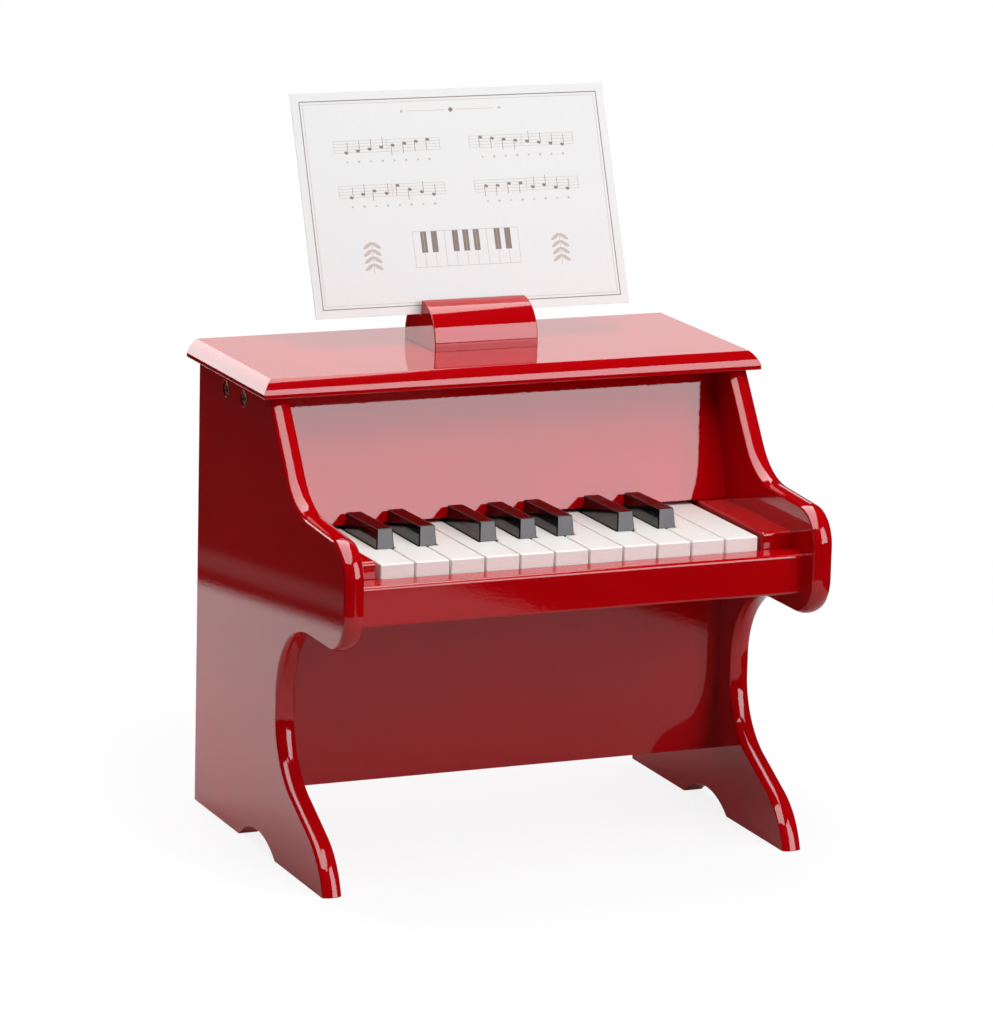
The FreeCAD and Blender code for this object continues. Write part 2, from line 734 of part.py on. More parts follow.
def black_key(number, position):
    name = f"black_key_{number:02d}"
    body = new_body(name)
    middle = black_x(position)
    half_base = "dims.black_base_width / 2"
    half_top = "dims.black_top_width / 2"
    plan = new_sketch(body, f"{name}_plan", "XY_Plane", key_bottom)
    outline(plan, [
        (f"{middle} - {half_base}", black_front_y, None),
        (f"{middle} + {half_base}", black_front_y, None),
        (f"{middle} + {half_base}", key_tail_y, None),
        (f"{middle} - {half_base}", key_tail_y, None),
    ])
    pad(body, f"{name}_stick", plan, "dims.key_height")
    section = new_sketch(body, f"{name}_section", "XZ_Plane", f"-{black_back_y}")
    cap_top = f"({key_top} + dims.black_rise)"
    outline(section, [
        (f"{middle} - {half_base}", key_top, None),
        (f"{middle} + {half_base}", key_top, None),
        (f"{middle} + {half_top}", cap_top, None),
        (f"{middle} - {half_top}", cap_top, None),
    ])
    pad(body, f"{name}_cap", section, f"{black_back_y} - {black_front_y}")

    # The front leans back, and the top falls a little towards the back.
    above = f"{cap_top} + dims.black_rise"
    ahead = f"{black_front_y} - dims.black_setback"
    waste = new_sketch(body, f"{name}_waste", "YZ_Plane", middle)
    outline(waste, [
        (ahead, key_top, None),
        (black_front_y, key_top, None),
        (f"{black_front_y} + dims.black_front_lean", cap_top, None),
        (black_back_y, f"{cap_top} - dims.black_back_drop", None),
        (black_back_y, above, None),
        (ahead, above, None),
    ])
    cut(body, f"{name}_slopes", waste)
    back = value(black_back_y)
    top = value(key_top)

    # All arrises of the cap are eased, apart from those at its foot and its back end.
    def on_cap(edge, middle):
        return middle.z > top + near and middle.y < back - near

    round_edges(body, f"{name}_easing", body.Tip, "dims.black_edge_radius", on_cap)
    axle_bore(body, name, middle)
    keep(body, name)
    return middle


def hammer(number, middle):
    name = f"hammer_{number:02d}"
    body = new_body(name)
    left = f"({middle} - dims.hammer_thickness / 2)"
    heel_y = f"({hammer_axle_y} - dims.heel_reach)"
    heel_z = f"({key_top} + dims.heel_clearance + dims.heel_radius)"
    heel = new_sketch(body, f"{name}_heel_profile", "YZ_Plane", left)
    circle(heel, heel_y, heel_z, "dims.heel_radius")
    pad(body, f"{name}_heel", heel, "dims.hammer_thickness")

    half_arm = "dims.heel_arm / 2"
    arm = new_sketch(body, f"{name}_arm_profile", "YZ_Plane", left)
    outline(arm, [
        (heel_y, f"{heel_z} - {half_arm}", None),
        (hammer_axle_y, f"{hammer_axle_z} - {half_arm}", None),
        (hammer_axle_y, f"{hammer_axle_z} + {half_arm}", None),
        (heel_y, f"{heel_z} + {half_arm}", None),
    ])
    pad(body, f"{name}_arm", arm, "dims.hammer_thickness")

    lean = "dims.hammer_lean * 1 deg"
    half_shank = "dims.hammer_shank / 2"

    def along(out, across):
        # A point out along the leaning shank and across it towards the back.
        y = f"{hammer_axle_y} - ({out}) * sin({lean}) + ({across}) * cos({lean})"
        z = f"{hammer_axle_z} + ({out}) * cos({lean}) + ({across}) * sin({lean})"
        return y, z

    low = "dims.hammer_length - dims.hammer_head_height / 2"
    high = "dims.hammer_length + dims.hammer_head_height / 2"
    shank = new_sketch(body, f"{name}_shank_profile", "YZ_Plane", left)
    outline(shank, [
        (*along("0", f"-{half_shank}"), None),
        (*along("0", half_shank), None),
        (*along(low, half_shank), None),
        (*along(low, "dims.hammer_head_reach"), "dims.hammer_head_radius"),
        (*along(high, "dims.hammer_head_reach"), "dims.hammer_head_radius"),
        (*along(high, "-dims.hammer_head_back"), None),
        (*along(low, "-dims.hammer_head_back"), None),
        (*along(low, f"-{half_shank}"), None),
    ])
    pad(body, f"{name}_shank", shank, "dims.hammer_thickness")

    hub = new_sketch(body, f"{name}_hub_profile", "YZ_Plane", left)
    circle(hub, hammer_axle_y, hammer_axle_z, "dims.hammer_hub_radius")
    pad(body, f"{name}_hub", hub, "dims.hammer_thickness")

    bore = new_sketch(body, f"{name}_bore_profile", "YZ_Plane", middle)
    circle(bore, hammer_axle_y, hammer_axle_z, "dims.hammer_axle_radius + dims.axle_clearance")
    cut(body, f"{name}_bore", bore)
    keep(body, name)


def axle(name, y, z, radius):
    rod = doc.addObject("Part::Cylinder", name)
    reach = f"({inner_half} + dims.axle_seat - dims.axle_clearance)"
    turn(rod, FreeCAD.Vector(0, 1, 0), 90)
    tie(rod, Radius=radius, Height=f"2 * {reach}")
    place(rod, f"-{reach}", y, z)
    keep(rod, name)


def strip(name, half, front, back, bottom, top):
    box = doc.addObject("Part::Box", name)
    tie(box, Length=f"2 * {half}", Width=f"{back} - ({front})", Height=f"{top} - ({bottom})")
    place(box, f"-{half}", front, bottom)
    return box


def key_rests():
    rail_top = f"({key_bottom} - dims.rest_clearance - dims.rest_felt)"
    rail_front = f"({rest_rail_back} - dims.rest_rail_width)"
    rail = strip("key_rest_rail", inner_half, rail_front, rest_rail_back, keybed_top, rail_top)
    keep(rail, "key_rest_rail")
    rest = strip("key_rest_felt", inner_half, rail_front, rest_rail_back,
                 rail_top, f"{rail_top} + dims.rest_felt")
    felt_front = f"({key_front_y} + dims.front_felt_setback)"
    landing = strip("key_front_felt", cheek_inner, felt_front, f"{felt_front} + dims.front_felt_width",
                    keybed_top, f"{keybed_top} + dims.front_felt")
    group("key_felts", [rest, landing])


def bar_length(x):
    # The bars shorten evenly from the left of the keyboard to the right.
    share = f"(({x}) + {keyboard_half}) / (2 * {keyboard_half})"
    return f"(dims.bar_low_length + (dims.bar_high_length - dims.bar_low_length) * {share})"


node_share = 0.276


def bar_node_z(x, side):
    # A free bar is held where it stays still, a fixed share of its length from its middle.
    return f"({bar_centre_z} + {side * node_share} * {bar_length(x)})"


def slanted_rail(name, side, front, back):
    body = new_body(name)
    sketch = new_sketch(body, f"{name}_outline", "XZ_Plane", f"-({back})")
    half = "dims.bar_rail_height / 2"
    left, right = f"-{inner_half}", inner_half
    outline(sketch, [
        (left, f"{bar_node_z(left, side)} - {half}", None),
        (right, f"{bar_node_z(right, side)} - {half}", None),
        (right, f"{bar_node_z(right, side)} + {half}", None),
        (left, f"{bar_node_z(left, side)} + {half}", None),
    ])
    pad(body, f"{name}_pad", sketch, f"{back} - ({front})")
    return body


def tone_bars(middles):
    for word, side in (("upper", 1), ("lower", -1)):
        rail = slanted_rail(f"{word}_bar_rail", side, bar_rail_front, back_panel_front)
        keep(rail, f"{word}_bar_rail")
    group("bar_felts", [
        slanted_rail(f"{word}_bar_felt", side, bar_back, bar_rail_front)
        for word, side in (("upper", 1), ("lower", -1))])
    bars = []
    pins = []
    for number, middle in enumerate(middles, 1):
        length = bar_length(middle)
        plate = doc.addObject("Part::Box", f"tone_bar_blank_{number:02d}")
        tie(plate, Length="dims.bar_width", Width="dims.bar_thickness", Height=length)
        place(plate, f"{middle} - dims.bar_width / 2", bar_front, f"{bar_centre_z} - {length} / 2")
        drill = doc.addObject("Part::Cylinder", f"tone_bar_drill_{number:02d}")
        turn(drill, FreeCAD.Vector(1, 0, 0), -90)
        tie(drill, Radius="dims.pin_radius + dims.pin_clearance", Height="dims.bar_thickness")
        place(drill, middle, bar_front, bar_node_z(middle, 1))
        bar = doc.addObject("Part::Cut", f"tone_bar_{number:02d}")
        bar.Base = plate
        bar.Tool = drill
        bars.append(bar)
        pin = screw_solid(
            f"tone_bar_pin_{number:02d}", "dims.pin_radius", "dims.pin_head_radius",
            "dims.pin_head_height", "dims.bar_thickness + dims.bar_felt + dims.pin_bite")
        turn(pin, FreeCAD.Vector(1, 0, 0), -90)
        place(pin, middle, bar_front, bar_node_z(middle, 1))
        pins.append(pin)
    group("tone_bars", bars)
    group("tone_bar_pins", pins)


def write_parts():
    faults = []
    for item in doc.Objects:
        if "Invalid" in item.State or "Error" in item.State:
            faults.append(f"{item.Name} is {item.State}")
    for item in nodes:
        if item.Shape.isNull() or not item.Shape.isValid():
            faults.append(f"{item.Label} has no valid shape")
    if faults:
        raise ValueError("; ".join(faults))
    os.makedirs("parts", exist_ok=True)
    for item in nodes:
        item.Shape.exportStep(f"parts/{item.Label}.step")
    print(len(nodes), "parts written")


side_panel("left_side_panel", -1)
side_panel("right_side_panel", 1)
lid()
case_boards()
cheek_block("left_cheek_block", f"-{inner_half}", f"-{cheek_inner}", f"-{cheek_inner}")
cheek_block("right_cheek_block", cheek_inner, inner_half, cheek_inner)
back_panel()
card_holder()
music_card()
side_screws()
back_screws()
axle("key_pivot_rod", key_axle_y, key_axle_z, "dims.axle_radius")
axle("hammer_pivot_rod", hammer_axle_y, hammer_axle_z, "dims.hammer_axle_radius")
key_rests()

stick_middles = []
black_count = 0
for position in range(len(white_notes)):
    stick_middles.append(white_key(position))
    if has_black(position + 1):
        black_count += 1
        stick_middles.append(black_key(black_count, position + 1))
for number, middle in enumerate(stick_middles, 1):
    hammer(number, middle)
tone_bars(stick_middles)

doc.recompute()
write_parts()
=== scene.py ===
import json
import math

import bpy
from mathutils import Matrix, Vector


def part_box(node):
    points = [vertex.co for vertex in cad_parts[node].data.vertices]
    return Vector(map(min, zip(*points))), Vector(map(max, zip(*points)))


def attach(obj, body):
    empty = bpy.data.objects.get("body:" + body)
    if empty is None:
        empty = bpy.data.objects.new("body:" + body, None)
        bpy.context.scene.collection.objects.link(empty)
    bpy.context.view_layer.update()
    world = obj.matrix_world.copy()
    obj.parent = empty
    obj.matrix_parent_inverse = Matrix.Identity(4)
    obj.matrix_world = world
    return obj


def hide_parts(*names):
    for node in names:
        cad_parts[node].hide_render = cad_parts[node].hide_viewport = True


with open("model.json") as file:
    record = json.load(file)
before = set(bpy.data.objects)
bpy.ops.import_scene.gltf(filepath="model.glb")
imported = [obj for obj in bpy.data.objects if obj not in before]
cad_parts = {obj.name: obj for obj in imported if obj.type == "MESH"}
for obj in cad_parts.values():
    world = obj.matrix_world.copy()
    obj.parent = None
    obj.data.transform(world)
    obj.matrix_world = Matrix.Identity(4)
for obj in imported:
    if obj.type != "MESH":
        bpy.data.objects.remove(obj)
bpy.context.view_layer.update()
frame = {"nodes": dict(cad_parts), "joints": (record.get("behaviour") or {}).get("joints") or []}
nodes = frame["nodes"]
mm = 0.001
print("frame:", len(nodes), "nodes")


# Colours and shader nodes

noiseSpan = {"From Min": 0.3, "From Max": 0.7}   # most of a noise texture lies between these


def linear(hexColour):
    # sRGB hex to the linear colour that a shader takes
    channels = [int(hexColour[start:start + 2], 16) / 255 for start in (1, 3, 5)]
    return [c / 12.92 if c <= 0.04045 else ((c + 0.055) / 1.055) ** 2.4 for c in channels] + [1.0]


def addNode(tree, kind, settings=None, links=None):
    # settings are the node's own properties, links its inputs: a value, or a socket of another node
    node = tree.nodes.new(kind)
    for name, setting in (settings or {}).items():
        setattr(node, name, setting)
    for name, source in (links or {}).items():
        if isinstance(source, bpy.types.NodeSocket):
            tree.links.new(source, node.inputs[name])
        else:
            node.inputs[name].default_value = source
    return node


def newMaterial(name):
    material = bpy.data.materials.new(name)
    material.use_nodes = True
    tree = material.node_tree
    tree.nodes.clear()
    place = addNode(tree, "ShaderNodeTexCoord").outputs["Object"]
    return material, tree, place


def finishMaterial(tree, shader):
    addNode(tree, "ShaderNodeOutputMaterial", links={"Surface": shader.outputs[0]})


# Red lacquer: polyurethane sprayed on board and polished. A deep clear gloss over flat colour,
# with the slight orange peel that makes the edges of reflections ragged.
redLacquer = {
    "colour": "#B40209",
    "shade": "#A80107",
    "ior": 1.55,
    "roughness": (0.02, 0.05),
    "cloud": 60 * mm,          # size of the drifts in colour and gloss
    "peel": 1.6 * mm,          # size of the orange peel's bumps
    "peelHeight": 0.014 * mm,
    "arris": 0.5 * mm,         # the paint rounds every sharp edge
    "edgeColour": "#BE1218",   # thinner paint on the arrises
    "edgeTurn": (0.98, 0.75),  # it begins and is full where the rounding has turned to these cosines
}


def makeRedLacquer(sizes):
    material, tree, place = newMaterial("redLacquerOnBoard")
    cloud = addNode(tree, "ShaderNodeTexNoise", {}, {
        "Vector": place, "Scale": 1 / sizes["cloud"], "Detail": 3.0})
    colour = addNode(tree, "ShaderNodeMix", {"data_type": "RGBA"}, {
        "Factor": cloud.outputs["Fac"], "A": linear(sizes["colour"]), "B": linear(sizes["shade"])})
    rounded = addNode(tree, "ShaderNodeBevel", {"samples": 4}, {"Radius": sizes["arris"]})
    flat = addNode(tree, "ShaderNodeNewGeometry")
    along = addNode(tree, "ShaderNodeVectorMath", {"operation": "DOT_PRODUCT"}, {
        0: rounded.outputs["Normal"], 1: flat.outputs["Normal"]})
    begins, full = sizes["edgeTurn"]
    onEdge = addNode(tree, "ShaderNodeMapRange", {}, {
        "Value": along.outputs["Value"], "From Min": begins, "From Max": full})
    worn = addNode(tree, "ShaderNodeMix", {"data_type": "RGBA"}, {
        "Factor": onEdge.outputs["Result"], "A": colour.outputs["Result"],
        "B": linear(sizes["edgeColour"])})
    low, high = sizes["roughness"]
    gloss = addNode(tree, "ShaderNodeMapRange", {}, {
        "Value": cloud.outputs["Fac"], **noiseSpan, "To Min": low, "To Max": high})
    peel = addNode(tree, "ShaderNodeTexNoise", {}, {
        "Vector": place, "Scale": 1 / sizes["peel"], "Detail": 1.0})
    bump = addNode(tree, "ShaderNodeBump", {}, {
        "Height": peel.outputs["Fac"], "Distance": sizes["peelHeight"],
        "Normal": rounded.outputs["Normal"]})
    shader = addNode(tree, "ShaderNodeBsdfPrincipled", {}, {
        "Base Color": worn.outputs["Result"], "Roughness": gloss.outputs["Result"], "IOR": sizes["ior"],
        "Normal": bump.outputs["Normal"]})
    finishMaterial(tree, shader)
    return material


# White keys: acrylic paint on beech, rolled on. Satin, a little warm, with the grain faintly through it.
whitePaint = {
    "colour": "#F0F0EB",
    "tint": "#EEEDE8",
    "ior": 1.49,
    "roughness": (0.31, 0.34),
    "grain": 1.1 * mm,
    "grainStretch": 0.06,      # the grain runs along the key
    "grainSpan": (0.35, 0.75),   # the part of the noise that shows through
    "grainHeight": 0.0015 * mm,
}


def makeWhitePaint(sizes):
    material, tree, place = newMaterial("whitePaintOnBeech")
    lengthways = addNode(tree, "ShaderNodeMapping", {}, {
        "Vector": place, "Scale": (1.0, sizes["grainStretch"], 1.0)})
    grain = addNode(tree, "ShaderNodeTexNoise", {}, {
        "Vector": lengthways.outputs["Vector"], "Scale": 1 / sizes["grain"], "Detail": 2.0})
    faintest, plainest = sizes["grainSpan"]
    soft = addNode(tree, "ShaderNodeMapRange", {}, {
        "Value": grain.outputs["Fac"], "From Min": faintest, "From Max": plainest})
    colour = addNode(tree, "ShaderNodeMix", {"data_type": "RGBA"}, {
        "Factor": soft.outputs["Result"], "A": linear(sizes["colour"]), "B": linear(sizes["tint"])})
    low, high = sizes["roughness"]
    gloss = addNode(tree, "ShaderNodeMapRange", {}, {
        "Value": grain.outputs["Fac"], **noiseSpan, "To Min": low, "To Max": high})
    bump = addNode(tree, "ShaderNodeBump", {}, {
        "Height": grain.outputs["Fac"], "Distance": sizes["grainHeight"]})
    shader = addNode(tree, "ShaderNodeBsdfPrincipled", {}, {
        "Base Color": colour.outputs["Result"], "Roughness": gloss.outputs["Result"], "IOR": sizes["ior"],
        "Normal": bump.outputs["Normal"]})
    finishMaterial(tree, shader)
    return material


# Black keys: black lacquer on beech, dipped. Nearly a mirror, with faint drifts in the gloss.
blackLacquer = {
    "colour": "#0B0909",
    "shade": "#141110",
    "ior": 1.47,
    "roughness": (0.05, 0.11),
    "cloud": 14 * mm,
    "peel": 1.6 * mm,
    "peelHeight": 0.004 * mm,
}


def makeBlackLacquer(sizes):
    material, tree, place = newMaterial("blackLacquerOnBeech")
    cloud = addNode(tree, "ShaderNodeTexNoise", {}, {
        "Vector": place, "Scale": 1 / sizes["cloud"], "Detail": 3.0})
    colour = addNode(tree, "ShaderNodeMix", {"data_type": "RGBA"}, {
        "Factor": cloud.outputs["Fac"], "A": linear(sizes["colour"]), "B": linear(sizes["shade"])})
    low, high = sizes["roughness"]
    gloss = addNode(tree, "ShaderNodeMapRange", {}, {
        "Value": cloud.outputs["Fac"], **noiseSpan, "To Min": low, "To Max": high})
    peel = addNode(tree, "ShaderNodeTexNoise", {}, {
        "Vector": place, "Scale": 1 / sizes["peel"], "Detail": 1.0})
    bump = addNode(tree, "ShaderNodeBump", {}, {
        "Height": peel.outputs["Fac"], "Distance": sizes["peelHeight"]})
    shader = addNode(tree, "ShaderNodeBsdfPrincipled", {}, {
        "Base Color": colour.outputs["Result"], "Roughness": gloss.outputs["Result"], "IOR": sizes["ior"],
        "Normal": bump.outputs["Normal"]})
    finishMaterial(tree, shader)
    return material


# Bare wood inside the case: planed pine, dry and matt, with lengthwise grain across the piano.
bareWood = {
    "early": "#D9B98A",
    "late": "#B58A58",
    "roughness": 0.62,
    "grain": 3.5 * mm,
    "grainStretch": 0.05,
    "bands": (0.35, 0.68),     # the part of the noise from early wood to late wood
    "grainHeight": 0.05 * mm,
}


def makeBareWood(sizes):
    material, tree, place = newMaterial("planedPine")
    lengthways = addNode(tree, "ShaderNodeMapping", {}, {
        "Vector": place, "Scale": (sizes["grainStretch"], 1.0, 1.0)})
    rings = addNode(tree, "ShaderNodeTexNoise", {}, {
        "Vector": lengthways.outputs["Vector"], "Scale": 1 / sizes["grain"], "Detail": 5.0,
        "Distortion": 0.6})
    early, late = sizes["bands"]
    banded = addNode(tree, "ShaderNodeMapRange", {}, {
        "Value": rings.outputs["Fac"], "From Min": early, "From Max": late})
    colour = addNode(tree, "ShaderNodeMix", {"data_type": "RGBA"}, {
        "Factor": banded.outputs["Result"], "A": linear(sizes["early"]), "B": linear(sizes["late"])})
    bump = addNode(tree, "ShaderNodeBump", {}, {
        "Height": rings.outputs["Fac"], "Distance": sizes["grainHeight"]})
    shader = addNode(tree, "ShaderNodeBsdfPrincipled", {}, {
        "Base Color": colour.outputs["Result"], "Roughness": sizes["roughness"],
        "Normal": bump.outputs["Normal"]})
    finishMaterial(tree, shader)
    return material


# Back board: hardboard, pressed from wood fibre. Brown, slightly polished by the press, with flecks.
hardboard = {
    "colour": "#8E6440",
    "fleck": "#6E4A2C",
    "roughness": 0.5,
    "fibre": 1.3 * mm,
    "blotch": 45 * mm,
    "fleckSpan": (0.12, 0.42),   # the part of the noise from plain board to fleck
    "fibreHeight": 0.03 * mm,
}


def makeHardboard(sizes):
    material, tree, place = newMaterial("pressedHardboard")
    fibre = addNode(tree, "ShaderNodeTexNoise", {}, {
        "Vector": place, "Scale": 1 / sizes["fibre"], "Detail": 6.0, "Distortion": 1.2})
    blotch = addNode(tree, "ShaderNodeTexNoise", {}, {
        "Vector": place, "Scale": 1 / sizes["blotch"], "Detail": 3.0})
    mixed = addNode(tree, "ShaderNodeMath", {"operation": "MULTIPLY"}, {
        0: fibre.outputs["Fac"], 1: blotch.outputs["Fac"]})
    plain, flecked = sizes["fleckSpan"]
    share = addNode(tree, "ShaderNodeMapRange", {}, {
        "Value": mixed.outputs["Value"], "From Min": plain, "From Max": flecked})
    colour = addNode(tree, "ShaderNodeMix", {"data_type": "RGBA"}, {
        "Factor": share.outputs["Result"], "A": linear(sizes["colour"]), "B": linear(sizes["fleck"])})
    bump = addNode(tree, "ShaderNodeBump", {}, {
        "Height": fibre.outputs["Fac"], "Distance": sizes["fibreHeight"]})
    shader = addNode(tree, "ShaderNodeBsdfPrincipled", {}, {
        "Base Color": colour.outputs["Result"], "Roughness": sizes["roughness"],
        "Normal": bump.outputs["Normal"]})
    finishMaterial(tree, shader)
    return material


# Music card: coated white board. Smooth and nearly matt, with a trace of fibre.
whiteCard = {
    "colour": "#D9DBDA",
    "fibreColour": "#D4D6D5",
    "roughness": 0.45,
    "fibre": 1.8 * mm,
    "fibreHeight": 0.004 * mm,
}


def makeWhiteCard(sizes):
    material, tree, place = newMaterial("coatedWhiteCard")
    fibre = addNode(tree, "ShaderNodeTexNoise", {}, {
        "Vector": place, "Scale": 1 / sizes["fibre"], "Detail": 4.0})
    colour = addNode(tree, "ShaderNodeMix", {"data_type": "RGBA"}, {
        "Factor": fibre.outputs["Fac"], "A": linear(sizes["colour"]), "B": linear(sizes["fibreColour"])})
    bump = addNode(tree, "ShaderNodeBump", {}, {
        "Height": fibre.outputs["Fac"], "Distance": sizes["fibreHeight"]})
    shader = addNode(tree, "ShaderNodeBsdfPrincipled", {}, {
        "Base Color": colour.outputs["Result"], "Roughness": sizes["roughness"],
        "Normal": bump.outputs["Normal"]})
    finishMaterial(tree, shader)
    return material


# Printing ink: a soft warm black and a pale warm grey, offset printed. Matt, uneven where it lies thin.
inks = {
    "black": ("#6A5C50", "#7B6D61"),
    "grey": ("#B0A497", "#BFB4A8"),
    "roughness": 0.5,
    "mottle": 0.9 * mm,
}


def makeInk(tone, sizes):
    material, tree, place = newMaterial(f"{tone}PrintingInk")
    mottle = addNode(tree, "ShaderNodeTexNoise", {}, {
        "Vector": place, "Scale": 1 / sizes["mottle"], "Detail": 2.0})
    full, thin = sizes[tone]
    colour = addNode(tree, "ShaderNodeMix", {"data_type": "RGBA"}, {
        "Factor": mottle.outputs["Fac"], "A": linear(full), "B": linear(thin)})
    shader = addNode(tree, "ShaderNodeBsdfPrincipled", {}, {
        "Base Color": colour.outputs["Result"], "Roughness": sizes["roughness"]})
    finishMaterial(tree, shader)
    return material


# Metals: drawn and sawn steel, zinc plate and dark bronzed steel, told apart by colour and roughness.
metals = {
    "drawnSteel": {
        "colour": "#B9BABD", "shade": "#9FA0A4", "roughness": (0.22, 0.36), "scratch": 0.5 * mm},
    "sawnToneBarSteel": {
        "colour": "#C6C8CB", "shade": "#AEB0B5", "roughness": (0.28, 0.42), "scratch": 0.4 * mm},
    "zincPlatedSteel": {
        "colour": "#B4B6B4", "shade": "#94979A", "roughness": (0.25, 0.4), "scratch": 0.6 * mm},
    "bronzedSteel": {
        "colour": "#A08C76", "shade": "#5E5044", "roughness": (0.48, 0.62), "scratch": 0.6 * mm},
}


def makeMetal(name, sizes):
    material, tree, place = newMaterial(name)
    scratch = addNode(tree, "ShaderNodeTexNoise", {}, {
        "Vector": place, "Scale": 1 / sizes["scratch"], "Detail": 4.0})
    colour = addNode(tree, "ShaderNodeMix", {"data_type": "RGBA"}, {
        "Factor": scratch.outputs["Fac"], "A": linear(sizes["colour"]), "B": linear(sizes["shade"])})
    low, high = sizes["roughness"]
    gloss = addNode(tree, "ShaderNodeMapRange", {}, {
        "Value": scratch.outputs["Fac"], **noiseSpan, "To Min": low, "To Max": high})
    shader = addNode(tree, "ShaderNodeBsdfPrincipled", {}, {
        "Base Color": colour.outputs["Result"], "Metallic": 1.0, "Roughness": gloss.outputs["Result"]})
    finishMaterial(tree, shader)
    return material


# Felt: pressed wool, dark red, all fibre and no gloss.
woolFelt = {
    "colour": "#5A1216",
    "fuzz": "#7C2A2C",
    "roughness": 0.95,
    "sheen": 0.4,
    "fibre": 0.7 * mm,
    "fibreHeight": 0.2 * mm,
}


def makeWoolFelt(sizes):
    material, tree, place = newMaterial("pressedWoolFelt")
    fibre = addNode(tree, "ShaderNodeTexNoise", {}, {
        "Vector": place, "Scale": 1 / sizes["fibre"], "Detail": 6.0, "Distortion": 1.5})
    colour = addNode(tree, "ShaderNodeMix", {"data_type": "RGBA"}, {
        "Factor": fibre.outputs["Fac"], "A": linear(sizes["colour"]), "B": linear(sizes["fuzz"])})
    bump = addNode(tree, "ShaderNodeBump", {}, {
        "Height": fibre.outputs["Fac"], "Distance": sizes["fibreHeight"]})
    shader = addNode(tree, "ShaderNodeBsdfPrincipled", {}, {
        "Base Color": colour.outputs["Result"], "Roughness": sizes["roughness"],
        "Sheen Weight": sizes["sheen"], "Normal": bump.outputs["Normal"]})
    finishMaterial(tree, shader)
    return material


# Hammers: moulded nylon, cream, with the fine spark texture of the mould.
mouldedNylon = {
    "colour": "#DCD6C8",
    "shade": "#CFC8B8",
    "ior": 1.53,
    "roughness": 0.42,
    "spark": 0.35 * mm,
    "sparkHeight": 0.015 * mm,
}


def makeMouldedNylon(sizes):
    material, tree, place = newMaterial("mouldedNylon")
    spark = addNode(tree, "ShaderNodeTexNoise", {}, {
        "Vector": place, "Scale": 1 / sizes["spark"], "Detail": 2.0})
    colour = addNode(tree, "ShaderNodeMix", {"data_type": "RGBA"}, {
        "Factor": spark.outputs["Fac"], "A": linear(sizes["colour"]), "B": linear(sizes["shade"])})
    bump = addNode(tree, "ShaderNodeBump", {}, {
        "Height": spark.outputs["Fac"], "Distance": sizes["sparkHeight"]})
    shader = addNode(tree, "ShaderNodeBsdfPrincipled", {}, {
        "Base Color": colour.outputs["Result"], "Roughness": sizes["roughness"], "IOR": sizes["ior"],
        "Normal": bump.outputs["Normal"]})
    finishMaterial(tree, shader)
    return material


red = makeRedLacquer(redLacquer)
white = makeWhitePaint(whitePaint)
black = makeBlackLacquer(blackLacquer)
pine = makeBareWood(bareWood)
board = makeHardboard(hardboard)
card = makeWhiteCard(whiteCard)
blackInk = makeInk("black", inks)
greyInk = makeInk("grey", inks)
rodSteel = makeMetal("drawnSteel", metals["drawnSteel"])
barSteel = makeMetal("sawnToneBarSteel", metals["sawnToneBarSteel"])
zinc = makeMetal("zincPlatedSteel", metals["zincPlatedSteel"])
bronze = makeMetal("bronzedSteel", metals["bronzedSteel"])
felt = makeWoolFelt(woolFelt)
nylon = makeMouldedNylon(mouldedNylon)

finishes = {
    "left_side_panel": red, "right_side_panel": red, "top_lid": red, "front_panel": red, "lower_panel": red,
    "key_slip": red, "left_cheek_block": red, "right_cheek_block": red, "card_holder": red, "keybed": red,
    "top_rail": pine, "key_rest_rail": pine, "upper_bar_rail": pine, "lower_bar_rail": pine,
    "back_panel": board, "music_card": card, "side_screws": bronze, "back_panel_screws": zinc,
    "key_pivot_rod": rodSteel, "hammer_pivot_rod": rodSteel, "tone_bar_pins": rodSteel,
    "tone_bars": barSteel, "key_felts": felt, "bar_felts": felt,
    "white_key": white, "black_key": black, "hammer": nylon,
}
for name, node in nodes.items():
    family = name if name in finishes else name.rstrip("0123456789_")
    node.material_slots[0].material = finishes[family]
print("materials:", len(set(finishes.values())))


# Printed card: a frame, four short staves in two columns, a keyboard drawing and two sprigs

def startPiece(name):
    bpy.ops.object.select_all(action="DESELECT")
    piece = bpy.data.objects.new(name, bpy.data.meshes.new(name))
    bpy.context.scene.collection.objects.link(piece)
    bpy.context.view_layer.objects.active = piece
    piece.select_set(True)
    bpy.ops.object.mode_set(mode="EDIT")


def addBar(x, y, width, height):
    # a flat bar in the piece being edited, given by its middle
    bpy.ops.mesh.primitive_plane_add(size=1, location=(x, y, 0))
    bpy.ops.transform.resize(value=(width, height, 1), center_override=(x, y, 0))


def addDisc(x, y, width, height, turn=0.0, corners=20):
    bpy.ops.mesh.primitive_circle_add(vertices=corners, radius=0.5, fill_type="NGON", location=(x, y, 0))
    bpy.ops.transform.resize(value=(width, height, 1), center_override=(x, y, 0))
    bpy.ops.transform.rotate(value=turn, orient_axis="Z", center_override=(x, y, 0))


def endPiece(thickness):
    bpy.ops.mesh.select_all(action="SELECT")
    bpy.ops.mesh.extrude_region_move(TRANSFORM_OT_translate={"value": (0, 0, thickness)})
    bpy.ops.mesh.select_all(action="SELECT")
    bpy.ops.mesh.normals_make_consistent(inside=False)
    bpy.ops.object.mode_set(mode="OBJECT")
    return bpy.context.object


def applyPlace(piece):
    bpy.ops.object.select_all(action="DESELECT")
    piece.select_set(True)
    bpy.context.view_layer.objects.active = piece
    bpy.ops.object.transform_apply(location=True, rotation=True, scale=True)


